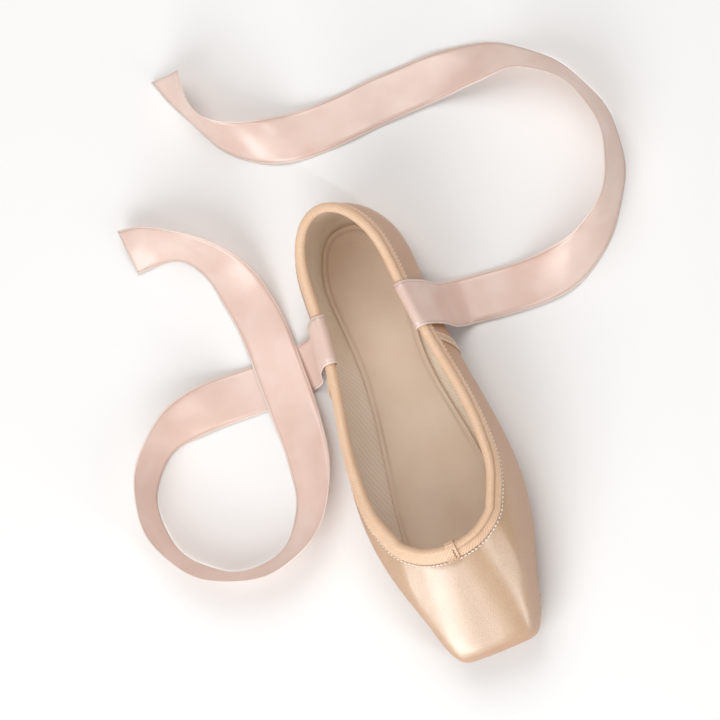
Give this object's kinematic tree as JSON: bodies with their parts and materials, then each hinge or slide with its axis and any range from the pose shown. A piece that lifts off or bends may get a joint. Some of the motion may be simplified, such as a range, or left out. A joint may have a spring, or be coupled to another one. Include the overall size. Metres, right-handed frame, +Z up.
{
  "type": "pointe shoe",
  "caption": "Satin ballet pointe shoe with a blocked flat toe, bound collar, short leather sole and two loose ankle ribbons.",
  "frame": {"origin": "on the floor, under the middle of the shoe's box without its ribbons", "axes": "+Z up, +Y from the toe to the heel, +X to the shoe's side that is right as seen from the toe"},
  "size_m": [0.2842, 0.3332, 0.0581],
  "materials": {
    "satin": "peach duchess satin over canvas, soft broad highlights",
    "binding": "peach bias-cut cotton twill",
    "sole_leather": "tan suede leather, scored and stitched",
    "sock": "undyed cotton drill",
    "ribbon": "thin pink satin ribbon"
  },
  "bodies": {
    "root": {"upper": "satin", "side_seam_right": "satin", "side_seam_left": "satin", "back_seam": "satin", "binding": "binding", "binding_join": "binding", "outsole": "sole_leather", "insole": "sock", "ribbon_right": "ribbon", "ribbon_left": "ribbon"}
  },
  "joints": []
}
